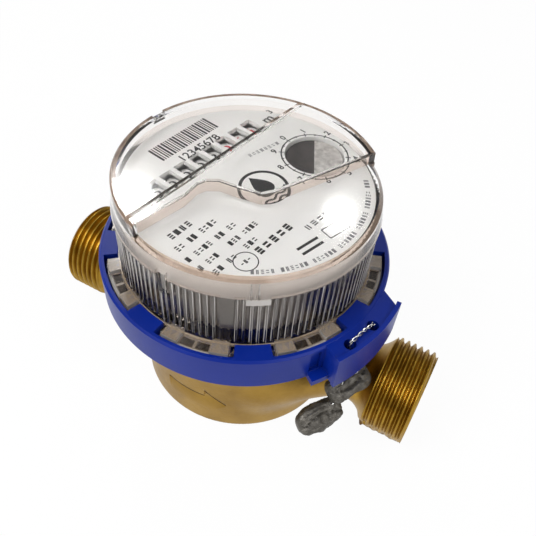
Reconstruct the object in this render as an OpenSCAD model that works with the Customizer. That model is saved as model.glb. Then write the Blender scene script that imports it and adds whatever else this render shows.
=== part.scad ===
// Single-jet dry-dial water meter with a threaded brass body, a clamped register and sealing wire.
// Millimetres. +X is the flow direction, +Z is up, the origin is the centre of the base of the cup.

/* [Brass body] */
// Length between the two pipe ends
body_l = 110; // [108:1:116]
// Height of the pipe axis above the base
axis_h = 14.8; // [14.6:0.1:15.2]
// Step from the clamp ring in to the cup
cup_step = 9.0; // [8.8:0.1:10.0]
// Crest radius of the pipe thread, nominal G3/4
thread_r = 13.22; // [12.8:0.02:13.4]
// Length of the threaded end
thread_l = 11.6; // [10.6:0.2:12.4]
// Outer radius of the neck between cup and thread
neck_r = 8.4; // [8.0:0.1:8.8]
// Radius of the water way in the neck
port_r = 6.2; // [5.8:0.1:6.4]

/* [Clamp ring] */
// Outer radius of the clamp ring
ring_r = 37; // [36.6:0.1:37.6]
// Height of the clamp ring
ring_h = 10.1; // [9.8:0.1:10.4]
// Turn of the seal block's front end about the axis
block_a0 = -30.5; // [-34:0.5:-29]
// Turn of the seal block's rear end about the axis
block_a1 = 1; // [0:0.5:3]

/* [Clear cap] */
// Height of the high rear part of the cap
cap_h = 69.2; // [68.8:0.1:70.2]
// Step from the high part down to the front part
cap_step = 3.0; // [2.6:0.1:3.2]
// Number of grip ribs around the cap
rib_n = 124; // [80:4:140]
// Number of locking lugs around the cap
lug_n = 8; // [8:1:9]
// Turn of the first lug about the axis
lug_a = -79.5; // [-84:0.5:-75]

/* [Register] */
// Turn of the dial about the axis
dial_turn = 79.7; // [0:0.1:359]
// Distance between two number drums
drum_pitch = 4.75; // [4.75:0.01:4.8]
// Radius of a number drum
drum_r = 5.0; // [4.8:0.05:5.0]
// Radius of the indicator disc
disc_r = 7.2; // [6.5:0.1:7.3]

/* [Hidden] */
$fn = 96;
eps = 0.02;

// Clearances
fit_run = 0.05;
gap = 0.3;

// Heights of the stack, from the top of the cap down
floor_t = 4;
cap_t = 1.4;
dial_gap = 0.4;
dial_t = 1.2;
bridge_t = 1;
front_top = cap_h - cap_step;
dial_top = front_top - cap_t - dial_gap;
dial_low = dial_top - dial_t;
band_z = dial_top - 3.6;
drum_z = dial_low - dial_gap - drum_r;
bridge_top = drum_z - drum_r - 2.6;
bridge_z = bridge_top - bridge_t;
house_floor = bridge_z - 5.7;
house_top = house_floor + 5;
body_top = house_floor - 1.5;
keeper_top = body_top - 0.5;
plate_top = keeper_top - 3;
seat_z = plate_top - 5;
flange_z = body_top - 4;
ring_top = body_top + 3.4;
ring_z = ring_top - ring_h;

// Radii of the stack, from the clamp ring inwards
lug_r = ring_r - 1.8;
cap_root_r = ring_r - 5.9;
cap_foot_r = cap_root_r + 2.2;
rib_h = 0.7;
cap_in_r = cap_root_r - 1.4;
band_low_r = cap_root_r + 1;
band_top_r = cap_root_r + 0.25;
cap_top_r = cap_root_r + 0.1;
house_r = cap_in_r - gap;
house_in_r = house_r - 1.4;
flange_r = cap_root_r - 0.6;
cup_r = ring_r - cup_step;
seat_r = cup_r - 2.3;
chamber_r = cup_r - 6.3;
keeper_in_r = seat_r - 9;
keyhole_r = seat_r - 5;
shield_in_r = keeper_in_r - 1.6;

// Pipe ends
end_x = body_l / 2;
thread_x = end_x - thread_l;
bore_r = 9;
bore_l = 14;
shoulder_l = 4.6;
chamfer = 0.9;

// Jet passage from the neck to the edge of the chamber
jet_out = [thread_x - 7.4, 0];
jet_in = chamber_r * [0.7143, -0.6667];
jet_r = 5;
jet_wall = 3.2;
jet_len = norm(jet_out - jet_in);
jet_turn = atan2(jet_out[1] - jet_in[1], jet_out[0] - jet_in[0]);

// Flow arrow on the cup
arrow_z = 10.2;
arrow_tail = -7.1;
arrow_neck = 4.5;
arrow_tip = 10.2;
arrow_half = 2.7;
arrow_head = 5.2;
arrow_depth = 0.7;

// Impeller
vane_n = 8;
vane_r = chamber_r - 1.6;
vane_t = 1.6;
vane_z0 = 8;
vane_z1 = seat_z - 9.5;
hub_r = 4.2;
pin_r = 1;
bush_r = 2;
magnet_r = 6;
magnet_in_r = 2.6;
magnet_z1 = plate_top - 2.9;
magnet_z0 = magnet_z1 - 6.1;
groove = 1.8;
groove_z = seat_z + 1.5;

// Gear train, places in the dial's own frame, spread with the housing
spread = house_in_r / 28;
m_fine = 0.5 * spread;
m_disc = 0.48 * spread;
gear_h = 1.4;
arbor_r = 0.8;
post_r = 1;
n_pinion = 10;
n_first = 40;
n_mid = 12;
n_second = 36;
n_disc = 30;
n_side = 16;
disc_at = spread * [19.2, -5.0];
first_at = spread * [0.52, -12.48];
second_at = spread * [12.5, -11.9];
idler_at = spread * [16.39, 2.49];
worm_at = spread * [21.05, 9.0];
post_at = spread * [[-20, -10], [-12, 19], [19, 12]];
disc_out_r = spread * disc_r;
level_a = bridge_z - 4;
level_b = bridge_z - 2;
level_d = bridge_top + 0.6;
level_c = level_d + gear_h + 0.6;
bridge_r = house_in_r - 0.6;
follower_z0 = house_floor - 2.8;
follower_z1 = house_floor + 1;
well_r = 8.5;
well_z = house_floor - 4.3;

// Turn of each wheel so that its teeth stand in the gaps of the wheel before it
function heading(a, b) = atan2(b[1] - a[1], b[0] - a[0]);
function meshed(ph, na, nb, dir) = dir + 180 - (ph - dir) * na / nb - 180 / nb;
ph_pinion = 0;
ph_first = meshed(ph_pinion, n_pinion, n_first, heading([0, 0], first_at));
ph_mid = 0;
ph_second = meshed(ph_mid, n_mid, n_second, heading(first_at, second_at));
ph_lead = 0;
ph_disc = meshed(ph_lead, n_pinion, n_disc, heading(second_at, disc_at));
ph_side = 0;
ph_idler = meshed(ph_side, n_side, n_side, heading(disc_at, idler_at));
ph_worm = meshed(ph_idler, n_side, n_side, heading(idler_at, worm_at));

// Number drums, on a shaft along the dial's reading direction
drum_n = 8;
row_u = 0.85 * spread;
row_v = 13.8 * spread;
pitch_u = drum_pitch * spread;
shaft_r = 1;
rim_l = -1.75 * spread;
rim_r = 1.55 * spread;
side_l = -2.2 * spread;
side_r = 2.2 * spread;
carry_r = 3.2;
carry_tip_r = 3.5;
n_carry = 20;
n_transfer = 8;
m_carry = 0.42;
transfer_d = m_carry * (n_carry + n_transfer) / 2;
transfer_turn = -60;
transfer_v = row_v + transfer_d * cos(transfer_turn);
transfer_z = drum_z + transfer_d * sin(transfer_turn);
transfer_shaft_r = 0.5;
transfer_side = 0.15;
function drum_u(k) = row_u + (k - (drum_n + 1) / 2) * pitch_u;
cheek_t = 1;
cheek_v = row_v - 2.4;
cheek_w = 3.9;
cheek_wide = 7;
cheek_top = drum_z + 2.2;
cheek_foot_v = 13.7 * spread;
cheek_foot_top = level_d + gear_h + 0.8;
cheek_l = drum_u(1) - 3 * spread;
cheek_r = drum_u(drum_n) + 4.5 * spread;
post_t = 0.8;
post_w = 2.2;
post_u = drum_u(drum_n) + 2.5 * spread;

// Worm and its wheel on the last drum
worm_pitch = 2.2 * spread;
worm_n = 10;
worm_flank_r = 1.2 * spread;
worm_root_r = 0.8 * spread;
worm_tip_r = 1.7 * spread;
worm_wheel_r = worm_n * worm_pitch / (2 * PI);
worm_turns = 3;
worm_wheel_w = 1.2 * spread;

// Contour of the step in the cap top, in the dial's own frame
step_line = [[-29.4, 5.1], [-17, 3.9], [-12.4, 4.6], [-10.2, 4.0], [-8.2, 1.8], [-6.9, -3.1],
             [-5.2, -8.0], [-2.6, -9.6], [23.4, -17.6]];
step_wall = 1.4;
chord_v = 7.6;
chord_w = 1.2;
chord_depth = 0.9;

// Details around the cap wall, as turns about the axis
rib_root_r = cap_root_r - 0.1;
rib_tip_r = cap_root_r + rib_h;
cap_foot_z = body_top + 1.4;
tab_a0 = -60.4;
tab_a1 = -51.2;
tab_h = 1.9;
patch_a0 = -70;
patch_a1 = -64.8;
patch_z = ring_top + 5.1;
slot_a0 = -97;
slot_a1 = -92.4;
slot_z = band_z - 5.8;
slot_depth = 0.6;
keyway_a = 168.5;
keyway_w = 3.8;
keyway_depth = 2.6;

// Hollow under the clamp ring
cavity_r0 = cap_root_r + 0.9;
cavity_r1 = ring_r - 2;
ring_foot_z = cap_foot_z + gap;
ring_in_r = rib_tip_r + 0.5;

// Seal block and seals
block_in_r = ring_r - 0.8;
block_r = ring_r + 3.9;
fin_t = 1.1;
fin_rise = 0.7;
ledge_h = 2;
latch_depth = 0.8;
hole_r = 1.45;
hole_at_r = ring_r + 2.3;
hole_a = -23.2;
hole_b = -11.5;
wire_r = 0.42;
bend_over = 0.2;
wire_ease = 0.02;
seal_l = 13;
seal_w = 7;
seal_t = 5;
wire_fit = 0.06;
rear_seal_x = ring_r + 0.6;
rear_seal_z = ring_z - 8.7;
clear_x = max(0, rear_seal_x + 5.8 - thread_x);
clear_z = max(0, axis_h + 11.8 - rear_seal_z);
rear_seal_at = [rear_seal_x, -12.8 - 0.8 * clear_x - 0.9 * clear_z, rear_seal_z];
rear_seal_turn = 66;
rear_seal_lean = 35;
front_seal_at = [ring_r - 2.5, -21.2, ring_z - 15.3];
front_seal_turn = 60;
front_seal_lean = 40;

// Helpers

// Points of a spur gear with n trapezoid teeth of module m, first tooth at angle ph
function on_circle(r, a) = [r * cos(a), r * sin(a)];
function gear_points(n, m, ph) =
    let (rp = n * m / 2, ra = rp + 0.75 * m, rf = rp - 1.05 * m, step = 360 / n)
    [for (i = [0 : n - 1])
        let (a = ph + i * step)
        each [on_circle(rf, a - 0.25 * step), on_circle(ra, a - 0.11 * step),
              on_circle(ra, a + 0.11 * step), on_circle(rf, a + 0.25 * step)]];

module gear(n, m, h, ph) {
    linear_extrude(h) polygon(gear_points(n, m, ph));
}

// Places children at a point of the dial's frame and a height
module dial_at(p, z) {
    rotate([0, 0, dial_turn]) translate([p[0], p[1], z]) children();
}

// Lays children along the dial's reading direction at a given place
module along_row(u, v, z) {
    rotate([0, 0, dial_turn]) translate([u, v, z]) rotate([0, 90, 0]) children();
}

// Sector of a ring between two turns
module sector(r0, r1, a0, a1, z0, z1) {
    rotate([0, 0, a0]) rotate_extrude(angle = a1 - a0) translate([r0, z0]) square([r1 - r0, z1 - z0]);
}

// Ring with a plain rectangular section
module band(r0, r1, z0, z1) {
    rotate_extrude() translate([r0, z0]) square([r1 - r0, z1 - z0]);
}

// Round rod between two points
module rod(a, b, r) {
    d = b - a;
    translate(a)
        rotate([0, acos(d[2] / norm(d)), atan2(d[1], d[0])])
            cylinder(r = r, h = norm(d), $fn = 20);
}

// Wire through a list of points: straight rods that run a little past each bend
module wire(points, r) {
    for (i = [0 : len(points) - 2]) {
        run = (points[i + 1] - points[i]) / norm(points[i + 1] - points[i]) * bend_over;
        first = i == 0 ? points[i] : points[i] - run;
        last = i == len(points) - 2 ? points[i + 1] : points[i + 1] + run;
        rod(first, last, r - (i % 2) * wire_ease);
    }
}

// Brass body

module pipe_x(x0, x1, r0, r1) {
    translate([x0, 0, axis_h]) rotate([0, 90, 0]) cylinder(r1 = r0, r2 = r1, h = x1 - x0);
}

module pipe_end_outside() {
    pipe_x(chamber_r + 1, thread_x - shoulder_l + eps, neck_r, neck_r);
    pipe_x(thread_x - shoulder_l, thread_x, neck_r, thread_r - chamfer);
    pipe_x(thread_x - eps, end_x - chamfer, thread_r, thread_r);
    pipe_x(end_x - chamfer - eps, end_x, thread_r, thread_r - chamfer);
    jet_tube(jet_r + jet_wall, 0);
}

module jet_tube(r, over) {
    translate([jet_in[0], jet_in[1], axis_h]) rotate([0, 0, jet_turn]) rotate([0, 90, 0])
        translate([0, 0, -over]) cylinder(r = r, h = jet_len + over);
}

module pipe_end_inside() {
    pipe_x(jet_out[0] - 5, end_x + 1, port_r, port_r);
    pipe_x(end_x - bore_l, end_x + 1, bore_r, bore_r);
    jet_tube(jet_r, 4);
}

module cup_outside() {
    edge = 0.8;
    rotate_extrude() {
        translate([0, edge]) square([cup_r, body_top - edge]);
        square([cup_r - edge, edge + eps]);
        intersection() {
            translate([cup_r - edge, edge]) circle(r = edge);
            square([cup_r, edge + eps]);
        }
        translate([0, flange_z]) square([flange_r, body_top - flange_z]);
    }
}

module flow_arrow() {
    intersection() {
        translate([0, 0, arrow_z]) rotate([90, 0, 0]) linear_extrude(cup_r + 2)
            polygon([[arrow_tail, -arrow_half], [arrow_neck, -arrow_half], [arrow_neck, -arrow_head],
                     [arrow_tip, 0], [arrow_neck, arrow_head], [arrow_neck, arrow_half],
                     [arrow_tail, arrow_half]]);
        band(cup_r - arrow_depth, cup_r + 3, arrow_z - 7, arrow_z + 7);
    }
}

module meter_body() {
    color("#b8892c") difference() {
        union() {
            cup_outside();
            pipe_end_outside();
            mirror([1, 0, 0]) pipe_end_outside();
        }
        translate([0, 0, floor_t]) cylinder(r = chamber_r, h = body_top);
        translate([0, 0, seat_z]) cylinder(r = seat_r, h = body_top);
        pipe_end_inside();
        mirror([1, 0, 0]) pipe_end_inside();
        flow_arrow();
        translate([0, 0, 1.5]) cylinder(r = pin_r, h = floor_t);
    }
}

module inlet_strainer() {
    strainer_l = 6;
    wall = 1.1;
    hole = 0.8;
    pitch = 2.5;
    color("#e8e6dc") translate([-end_x + bore_l - strainer_l, 0, axis_h]) rotate([0, 90, 0]) difference() {
        cylinder(r = bore_r, h = strainer_l);
        translate([0, 0, -1]) cylinder(r = bore_r - wall, h = strainer_l - wall + 1);
        cylinder(r = hole, h = strainer_l + 1);
        for (ring = [1 : 2], i = [0 : 6 * ring - 1])
            rotate([0, 0, i * 60 / ring]) translate([ring * pitch, 0, 0])
                cylinder(r = hole, h = strainer_l + 1);
    }
}

// Wet side

module lower_pivot_pin() {
    color("silver") translate([0, 0, 1.5]) cylinder(r = pin_r, h = 9);
}

module impeller() {
    bush_l = 5;
    color("#f2f0ea") difference() {
        union() {
            translate([0, 0, vane_z0 - 1]) cylinder(r = hub_r, h = magnet_z0 - vane_z0 + 1);
            translate([0, 0, magnet_z0 - eps]) cylinder(r = magnet_in_r, h = magnet_z1 - magnet_z0 + eps);
            for (i = [0 : vane_n - 1])
                rotate([0, 0, i * 360 / vane_n]) translate([hub_r - 1, -vane_t / 2, vane_z0])
                    cube([vane_r - hub_r + 1, vane_t, vane_z1 - vane_z0]);
        }
        translate([0, 0, vane_z0 - 2]) cylinder(r = bush_r, h = bush_l + 1);
        translate([0, 0, vane_z0 - 2]) cylinder(r = pin_r + 0.4, h = bush_l + 2);
        translate([0, 0, magnet_z1 - 3]) cylinder(r = bush_r, h = 4);
        translate([0, 0, magnet_z1 - 4]) cylinder(r = pin_r + 0.4, h = 4);
    }
}

module lower_bush() {
    color("#8e2f3a") band(pin_r + fit_run, bush_r, vane_z0 - 1, vane_z0 + 4);
}

module upper_bush() {
    color("#8e2f3a") band(pin_r + fit_run, bush_r, magnet_z1 - 3, magnet_z1);
}

module impeller_magnet() {
    color("#3a3a3c") band(magnet_in_r, magnet_r, magnet_z0, magnet_z1);
}

module upper_pivot_pin() {
    color("silver") translate([0, 0, magnet_z1 - 2.8]) cylinder(r = pin_r, h = plate_top - magnet_z1 + 2.2);
}

module pressure_plate() {
    color("#d9d6cc") difference() {
        translate([0, 0, seat_z]) cylinder(r = seat_r, h = plate_top - seat_z);
        translate([0, 0, seat_z - 1]) cylinder(r = magnet_r + 0.8, h = magnet_z1 - seat_z + 1.5);
        translate([0, 0, plate_top - 3]) cylinder(r = pin_r, h = 2.4);
        band(seat_r - groove, seat_r + 1, groove_z, groove_z + groove);
    }
}

module plate_seal_ring() {
    color("#1c1c1c") rotate_extrude()
        translate([seat_r - groove / 2, groove_z + groove / 2]) circle(r = groove / 2);
}

module plate_keeper() {
    key = 3;
    color("#b08a3a") difference() {
        band(keeper_in_r, seat_r, plate_top, keeper_top);
        for (i = [0 : 3])
            rotate([0, 0, i * 90]) translate([keyhole_r, 0, plate_top + 1]) cylinder(r = key / 2, h = 4);
    }
}

module magnetic_shield() {
    color("#8d9093") band(shield_in_r, keeper_in_r, plate_top, keeper_top);
}

// Register

module register_housing() {
    color("#1c2f86") difference() {
        union() {
            translate([0, 0, body_top]) cylinder(r = house_r, h = house_top - body_top);
            translate([0, 0, well_z]) cylinder(r = well_r, h = body_top - well_z + eps);
        }
        translate([0, 0, house_floor]) cylinder(r = house_in_r, h = house_top);
        translate([0, 0, well_z + 1]) cylinder(r = well_r - 1.2, h = house_top);
        translate([0, 0, well_z + 0.3]) cylinder(r = arbor_r + fit_run, h = 2);
        dial_at(first_at, house_floor - 0.9) cylinder(r = arbor_r + fit_run, h = 2);
        dial_at(second_at, house_floor - 0.9) cylinder(r = arbor_r + fit_run, h = 2);
    }
}

module follower_magnet() {
    color("#3a3a3c") band(2.2, magnet_r, follower_z0, follower_z1);
}

module follower_pinion() {
    color("#f2f0ea") {
        translate([0, 0, well_z + 0.45]) cylinder(r = arbor_r, h = bridge_top - well_z - 0.45);
        translate([0, 0, follower_z0]) cylinder(r = 2.2, h = follower_z1 - follower_z0);
        dial_at([0, 0], level_a) gear(n_pinion, m_fine, gear_h, ph_pinion);
        translate([0, 0, follower_z1 - eps]) cylinder(r = 1.6, h = level_a - follower_z1 + 2 * eps);
    }
}

module first_wheel() {
    color("#e9d9a8") dial_at(first_at, 0) {
        translate([0, 0, house_floor - 0.7]) cylinder(r = arbor_r, h = bridge_top - house_floor + 0.7);
        translate([0, 0, level_a]) gear(n_first, m_fine, gear_h, ph_first);
        translate([0, 0, level_b]) gear(n_mid, m_fine, gear_h, ph_mid);
        translate([0, 0, level_a]) cylinder(r = 1.8, h = level_b - level_a + eps);
    }
}

module second_wheel() {
    color("#e9d9a8") dial_at(second_at, 0) {
        translate([0, 0, house_floor - 0.7]) cylinder(r = arbor_r, h = level_c - house_floor + 0.8);
        translate([0, 0, level_b]) gear(n_second, m_fine, gear_h, ph_second);
        translate([0, 0, level_c]) gear(n_pinion, m_disc, gear_h, ph_lead);
        translate([0, 0, bridge_top + gap]) cylinder(r = 1.5, h = level_c - bridge_top - gap + eps);
    }
}

module bridge_posts() {
    for (p = post_at)
        dial_at(p, house_floor) cylinder(r = 2, h = bridge_z - house_floor + eps);
}

module bridge_cheeks() {
    rotate([0, 0, dial_turn]) {
        translate([cheek_l, cheek_v, bridge_top - eps])
            cube([cheek_t, cheek_wide, cheek_top - bridge_top + eps]);
        translate([cheek_r, cheek_foot_v, bridge_top - eps])
            cube([cheek_t, cheek_v + cheek_w - cheek_foot_v, cheek_foot_top - bridge_top + 2 * eps]);
        translate([cheek_r, cheek_v, cheek_foot_top])
            cube([cheek_t, cheek_w, cheek_top - cheek_foot_top]);
        translate([post_u, transfer_v - post_w / 2, bridge_top - eps])
            cube([post_t, post_w, transfer_z - bridge_top + post_w / 2]);
    }
}

module gear_bridge() {
    color("#cfd2d4") difference() {
        union() {
            translate([0, 0, bridge_z]) cylinder(r = bridge_r, h = bridge_t);
            bridge_posts();
            bridge_cheeks();
            dial_at(idler_at, bridge_z) cylinder(r = post_r, h = level_d - bridge_z + gear_h + 0.2);
        }
        translate([0, 0, bridge_z - 1]) cylinder(r = arbor_r + fit_run, h = 3);
        dial_at(first_at, bridge_z - 1) cylinder(r = arbor_r + fit_run, h = 3);
        dial_at(second_at, bridge_z - 1) cylinder(r = arbor_r + fit_run, h = 3);
        dial_at(disc_at, bridge_z - 1) cylinder(r = arbor_r + fit_run, h = 3);
        dial_at(worm_at, bridge_z - 1) cylinder(r = arbor_r + fit_run, h = 3);
        along_row(cheek_l - 1, row_v, drum_z) cylinder(r = shaft_r, h = cheek_r - cheek_l + 4);
        along_row(cheek_l - 1, transfer_v, transfer_z)
            cylinder(r = transfer_shaft_r, h = post_u + post_t - cheek_l + 1.5);
    }
}

module indicator_arbor() {
    color("#f2f0ea") dial_at(disc_at, 0) {
        translate([0, 0, bridge_z]) cylinder(r = arbor_r, h = dial_top - 0.9 - bridge_z);
        translate([0, 0, level_d]) gear(n_side, m_fine, gear_h, ph_side);
        translate([0, 0, level_c]) gear(n_disc, m_disc, gear_h, ph_disc);
        translate([0, 0, level_d]) cylinder(r = 1.8, h = level_c - level_d + eps);
        translate([0, 0, level_c]) cylinder(r = 1.6, h = dial_top - 3.9 - level_c);
    }
}

module indicator_disc() {
    color("#161616") dial_at(disc_at, 0)
        translate([0, 0, dial_top - 1.9]) difference() {
            cylinder(r = disc_out_r, h = 0.8);
            translate([0, 0, -1]) cylinder(r = arbor_r, h = 3);
        }
}

module idler_wheel() {
    color("#e9d9a8") dial_at(idler_at, level_d) difference() {
        gear(n_side, m_fine, gear_h, ph_idler);
        translate([0, 0, -1]) cylinder(r = post_r + fit_run, h = 4);
    }
}

module worm_arbor() {
    worm_h = worm_turns * worm_pitch;
    color("#f2f0ea") dial_at(worm_at, 0) {
        translate([0, 0, bridge_z]) cylinder(r = arbor_r, h = dial_low - 0.6 - bridge_z);
        translate([0, 0, level_d]) gear(n_side, m_fine, gear_h, ph_worm);
        translate([0, 0, drum_z - worm_h / 2]) rotate([0, 0, -90 - 180 * worm_turns])
            linear_extrude(worm_h, twist = -360 * worm_turns, slices = 24 * worm_turns, $fn = 8)
                polygon([on_circle(worm_flank_r, -60),
                         for (a = [-36 : 18 : 36]) on_circle(worm_tip_r, a),
                         on_circle(worm_flank_r, 60),
                         for (a = [90 : 30 : 270]) on_circle(worm_root_r, a)]);
    }
}

module drum_shaft() {
    color("silver") along_row(cheek_l, row_v, drum_z) cylinder(r = shaft_r, h = cheek_r + cheek_t - cheek_l);
}

module transfer_shaft() {
    color("silver") along_row(cheek_l, transfer_v, transfer_z)
        cylinder(r = transfer_shaft_r, h = post_u + post_t - cheek_l);
}

// Drum number k, with a carry gear to its right and a carry tooth to its left
module drum(k) {
    along_row(drum_u(k), row_v, drum_z) difference() {
        union() {
            translate([0, 0, rim_l]) cylinder(r = drum_r, h = rim_r - rim_l);
            if (k < drum_n) translate([0, 0, rim_r - eps])
                gear(n_carry, m_carry, side_r - rim_r + eps, 180 / n_carry);
            if (k > 1) translate([0, 0, side_l]) {
                cylinder(r = carry_r, h = rim_l - side_l + eps);
                for (a = [-9, 9])
                    rotate([0, 0, a]) translate([0, -0.3, 0])
                        cube([carry_tip_r, 0.6, rim_l - side_l + eps]);
            }
            if (k == drum_n) {
                translate([0, 0, rim_r - eps]) cylinder(r = 2, h = worm_at[0] - drum_u(k) - rim_r);
                translate([0, 0, worm_at[0] - drum_u(k) - worm_wheel_w / 2]) worm_wheel();
            }
        }
        translate([0, 0, side_l - 1]) cylinder(r = shaft_r + fit_run, h = 10);
    }
}

// Wheel whose tooth points at the worm, in the drum's own lie
module worm_wheel() {
    step = 360 / worm_n;
    root = worm_wheel_r - 0.45 * spread;
    tip = worm_wheel_r + 0.25 * spread;
    linear_extrude(worm_wheel_w)
        polygon([for (i = [0 : worm_n - 1])
            let (a = -90 + i * step)
            each [on_circle(root, a - 0.14 * step), on_circle(tip, a - 0.06 * step),
                  on_circle(tip, a + 0.06 * step), on_circle(root, a + 0.14 * step)]]);
}

black_drum = "#1b1b1b";
red_drum = "#b01c22";
module number_drum_1() { color(black_drum) drum(1); }
module number_drum_2() { color(black_drum) drum(2); }
module number_drum_3() { color(black_drum) drum(3); }
module number_drum_4() { color(black_drum) drum(4); }
module number_drum_5() { color(black_drum) drum(5); }
module number_drum_6() { color(red_drum) drum(6); }
module number_drum_7() { color(red_drum) drum(7); }
module number_drum_8() { color(red_drum) drum(8); }

// Pinion between drum k and the drum to its right
module transfer(k) {
    len_u = pitch_u + rim_l - rim_r - 2 * transfer_side;
    dir = 90 + transfer_turn;
    ph = meshed(180 / n_carry, n_carry, n_transfer, dir);
    color("#f2f0ea") along_row(drum_u(k) + rim_r + transfer_side, transfer_v, transfer_z) difference() {
        gear(n_transfer, m_carry, len_u, ph);
        translate([0, 0, -1]) cylinder(r = transfer_shaft_r + fit_run, h = 5);
    }
}

module transfer_pinion_1() { transfer(1); }
module transfer_pinion_2() { transfer(2); }
module transfer_pinion_3() { transfer(3); }
module transfer_pinion_4() { transfer(4); }
module transfer_pinion_5() { transfer(5); }
module transfer_pinion_6() { transfer(6); }
module transfer_pinion_7() { transfer(7); }

module dial_plate() {
    well_wall = 1;
    well_depth = 3;
    window_u = 3.5 * spread;
    window_v = 5.8;
    color("#f4f4f1") difference() {
        union() {
            translate([0, 0, dial_low]) cylinder(r = house_r, h = dial_t);
            band(house_in_r, house_r, house_top, dial_low + eps);
            intersection() {
                dial_at(disc_at, dial_top - well_depth)
                    cylinder(r = disc_out_r + gap + well_wall, h = well_depth - eps);
                cylinder(r = house_r - eps, h = cap_h);
            }
            dial_at(worm_at, dial_low - 2) cylinder(r = 2, h = 2 + eps);
        }
        dial_at(disc_at, dial_top - 2.2) cylinder(r = disc_out_r + gap, h = 4);
        dial_at(disc_at, dial_top - well_depth - 1) cylinder(r = arbor_r + fit_run, h = 3);
        dial_at(worm_at, dial_low - 3) cylinder(r = arbor_r + fit_run, h = 2.8);
        for (k = [1 : drum_n])
            dial_at([drum_u(k) - window_u / 2, row_v - window_v / 2], dial_low - 1)
                cube([window_u, window_v, 4]);
    }
}

// Clear cap

// Area in front of the step line, moved back by a wall
module front_area(move) {
    far = 60;
    polygon([each [for (p = step_line) [p[0] + (p[0] > 0 ? 0 : move), p[1] + move]],
             [far, step_line[8][1] - 8 + move], [far, -far], [-far, -far], [-far, step_line[0][1] + move]]);
}

module cap_ribs() {
    step = 360 / rib_n;
    translate([0, 0, ring_top + 0.2]) linear_extrude(band_z - ring_top - 0.6)
        polygon([for (i = [0 : rib_n - 1])
            let (a = i * step)
            each [on_circle(rib_root_r, a - 0.42 * step), on_circle(rib_tip_r, a - 0.16 * step),
                  on_circle(rib_tip_r, a + 0.16 * step), on_circle(rib_root_r, a + 0.42 * step)]]);
}

module lug(a) {
    width = 28;
    end_w = 7;
    inset = 0.6;
    lug_z = body_top + 0.2;
    lug_top = ring_top - 1.4;
    end_r = lug_r - 0.3;
    rotate([0, 0, a]) {
        sector(cap_root_r - 0.3, lug_r, -width / 2, width / 2, lug_z, lug_top);
        for (s = [inset - width / 2, width / 2 - inset - end_w])
            sector(cap_root_r - 0.2, end_r, s, s + end_w, lug_top - 0.3, ring_top - gap);
    }
}

module cap_outside() {
    bevel = 1.1;
    difference() {
        rotate_extrude()
            polygon([[0, body_top], [cap_root_r, body_top], [cap_root_r, band_z], [band_low_r, band_z],
                     [band_top_r, front_top - bevel], [cap_top_r, cap_h - 0.4], [cap_top_r - 0.4, cap_h],
                     [0, cap_h]]);
        translate([0, 0, front_top]) rotate([0, 0, dial_turn]) linear_extrude(cap_step + 1) front_area(0);
        intersection() {
            rotate_extrude()
                polygon([[band_top_r - bevel, front_top + eps], [band_top_r, front_top - bevel],
                         [band_top_r + 3, front_top - bevel], [band_top_r + 3, cap_h + 1],
                         [band_top_r - bevel, cap_h + 1]]);
            translate([0, 0, front_top - 2]) rotate([0, 0, dial_turn])
                linear_extrude(cap_step + 4) front_area(-0.5);
        }
    }
    cap_ribs();
    sector(cap_root_r - eps, band_low_r - 0.1, tab_a0, tab_a1, band_z - tab_h, band_z + eps);
    sector(cap_root_r - eps, rib_tip_r + 0.05, patch_a0, patch_a1, patch_z, band_z + eps);
    band(cap_root_r - 0.1, cap_foot_r, body_top + 0.1, cap_foot_z);
    for (i = [0 : lug_n - 1]) lug(lug_a + i * 360 / lug_n);
}

module cap_inside() {
    translate([0, 0, body_top - 1]) cylinder(r = cap_in_r, h = front_top - cap_t - body_top + 1);
    difference() {
        translate([0, 0, front_top - cap_t - eps]) cylinder(r = cap_in_r, h = cap_step);
        translate([0, 0, front_top - cap_t - 1]) rotate([0, 0, dial_turn])
            linear_extrude(cap_step + 3) front_area(step_wall);
    }
}

module clear_cap() {
    color("#dfe6e8", 0.45) difference() {
        cap_outside();
        cap_inside();
        rotate([0, 0, dial_turn]) translate([-40, chord_v - chord_w / 2, cap_h - chord_depth])
            cube([80, chord_w, 2]);
        rotate([0, 0, keyway_a]) translate([cap_top_r - 1.1, -keyway_w / 2, cap_h - keyway_depth])
            cube([4, keyway_w, 4]);
        sector(cap_root_r - slot_depth, band_low_r + 1, slot_a0, slot_a1, slot_z, band_z + 1.2);
    }
}

// Clamp ring

module ring_blank() {
    lip_r = cup_r + gap;
    edge = 0.5;
    difference() {
        rotate_extrude()
            polygon([[lip_r, ring_z], [ring_r - edge, ring_z], [ring_r, ring_z + edge],
                     [ring_r, ring_top - edge], [ring_r - edge, ring_top], [ring_in_r, ring_top],
                     [ring_in_r, ring_foot_z], [cap_foot_r + gap, ring_foot_z],
                     [cap_foot_r + gap, body_top], [flange_r + gap, body_top],
                     [flange_r + gap, flange_z], [lip_r, flange_z]]);
        band(cavity_r0, cavity_r1, ring_z - 1, flange_z + 2);
    }
}

module seal_block() {
    fin_r = block_r + fin_t;
    ledge_r = ring_r + 2.6;
    sector(block_in_r, block_r + eps, block_a0, block_a1, ring_z + 0.2, ring_top - 0.1);
    sector(block_r, fin_r, block_a0 - 0.3, block_a1 + 1, ring_z + 0.1, ring_top + fin_rise);
    linear_extrude_z(ring_z + 0.4, ring_top - gap)
        polygon([on_circle(block_in_r, block_a1 - 2), on_circle(block_r - 0.2, block_a1 - 2),
                 on_circle(block_r - 0.2, block_a1 + 0.5), on_circle(ring_r - 0.2, block_a1 + 5)]);
    sector(block_in_r, ledge_r, block_a0 - 6.5, block_a0 + 0.5, ring_z + gap, ring_z + ledge_h);
}

module linear_extrude_z(z0, z1) {
    translate([0, 0, z0]) linear_extrude(z1 - z0) children();
}

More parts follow.
